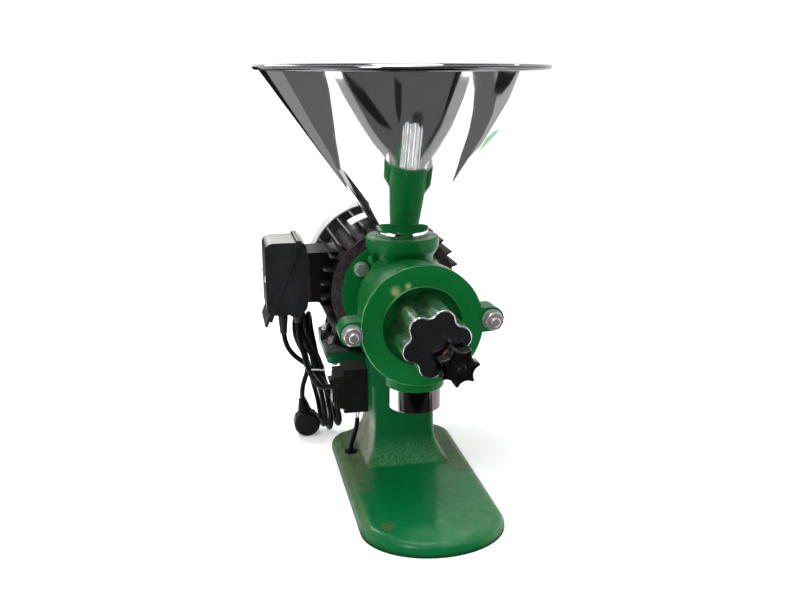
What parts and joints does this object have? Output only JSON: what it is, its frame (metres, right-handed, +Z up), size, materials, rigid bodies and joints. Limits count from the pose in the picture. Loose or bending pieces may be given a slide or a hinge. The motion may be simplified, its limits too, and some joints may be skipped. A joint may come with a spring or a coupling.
{
  "type": "commercial coffee grinder",
  "caption": "Shop coffee grinder: polished cone hopper over a green cast grinding head, chrome adjusting knob, tube spout, finned black motor and a green pedestal base.",
  "frame": {"origin": "on the table, straight below the hopper's axis", "axes": "+Z up; the grinding head and its knob face -Y, the motor lies along +Y; +X to the right of someone facing the knob"},
  "size_m": [0.3008, 0.407, 0.4414],
  "materials": {
    "green_enamel": "gloss",
    "polished_steel": "mirror",
    "chrome": "mirror",
    "steel_hardware": "satin",
    "burr_steel": "satin",
    "dark_iron": "matte",
    "laminations": "satin",
    "bronze": "satin",
    "black_aluminium": "satin",
    "cowl_paint": "satin",
    "copper": "satin",
    "black_plastic": "satin",
    "gloss_black": "gloss",
    "white_plastic": "matte",
    "cord_rubber": "matte",
    "wire_insulation": "satin"
  },
  "bodies": {
    "frame": {"base_casting": "green_enamel", "housing": "green_enamel", "front_cover": "green_enamel", "adjusting_sleeve": "bronze", "cover_studs": "chrome", "cover_nuts": "chrome", "cover_washers": "chrome", "guide_pins": "steel_hardware", "housing_bolts": "steel_hardware", "bolt_washers": "steel_hardware", "shaft_seal": "cord_rubber", "spout": "polished_steel", "motor_bearings": "steel_hardware", "motor_frame": "black_aluminium", "front_end_shield": "black_aluminium", "rear_end_shield": "black_aluminium", "tie_bolts": "steel_hardware", "stator_core": "laminations", "stator_windings": "copper", "fan_cowl": "cowl_paint", "cowl_screws": "steel_hardware", "foot_bolts": "steel_hardware", "foot_nuts": "steel_hardware", "terminal_box_base": "black_plastic", "terminal_box_lid": "black_plastic", "lid_screws": "steel_hardware", "terminal_block": "white_plastic", "run_capacitor": "black_plastic", "lead_gland": "black_plastic", "motor_lead": "cord_rubber", "cord_gland": "black_plastic", "cord_lead_in": "cord_rubber", "cord_hank": "cord_rubber", "cord_tail": "cord_rubber", "hank_tie": "white_plastic", "plug_body": "cord_rubber", "plug_pins": "steel_hardware", "switch_box": "black_plastic", "switch_bezel": "gloss_black", "earth_wires": "wire_insulation", "earth_sleeve": "cord_rubber", "cable_grommet": "cord_rubber"},
    "rotor": {"motor_shaft": "steel_hardware", "rotor_core": "laminations", "cooling_fan": "black_plastic", "feed_auger": "dark_iron", "auger_key": "steel_hardware", "burr_holder": "dark_iron", "rotating_burr": "burr_steel", "rotating_burr_screws": "burr_steel", "shaft_end_bolt": "steel_hardware"},
    "burr_carriage": {"burr_carrier": "dark_iron", "fixed_burr": "burr_steel", "fixed_burr_screws": "burr_steel"},
    "adjusting_knob": {"adjusting_knob": "chrome"},
    "lock_knob": {"lock_stem": "chrome", "lock_knob": "black_plastic"},
    "hopper": {"hopper": "polished_steel"},
    "set_screw": {"hopper_set_screw": "green_enamel"},
    "rocker": {"switch_rocker": "gloss_black"}
  },
  "joints": [
    {"name": "rotor_spin", "type": "hinge", "parent": "frame", "child": "rotor", "pos_m": [0, 0, 0.193], "axis": [0, 1, 0], "continuous": true},
    {"name": "burr_advance", "type": "slide", "parent": "frame", "child": "burr_carriage", "axis": [0, 1, 0], "range_m": [-0.00076, 0.00076]},
    {"name": "knob_turn", "type": "hinge", "parent": "burr_carriage", "child": "adjusting_knob", "pos_m": [0, -0.12, 0.193], "axis": [0, 1, 0], "range_deg": [-180, 180]},
    {"name": "lock_turn", "type": "hinge", "parent": "adjusting_knob", "child": "lock_knob", "pos_m": [0.01563, -0.17, 0.17681], "axis": [0, -1, 0], "range_deg": [0, 864]},
    {"name": "hopper_lift", "type": "slide", "parent": "frame", "child": "hopper", "axis": [0, 0, 1], "range_m": [0, 0.05]},
    {"name": "set_screw_turn", "type": "hinge", "parent": "frame", "child": "set_screw", "pos_m": [0, 0, 0.245], "axis": [-0.9063, -0.4226, 0], "range_deg": [0, 360]},
    {"name": "rocker_tilt", "type": "hinge", "parent": "frame", "child": "rocker", "pos_m": [-0.0704, 0.033, 0.086], "axis": [0, 1, 0], "range_deg": [0, 16]}
  ],
  "couplings": [
    {"joint": "burr_advance", "follows": "knob_turn", "m_per_rad": 0.00023873}
  ]
}
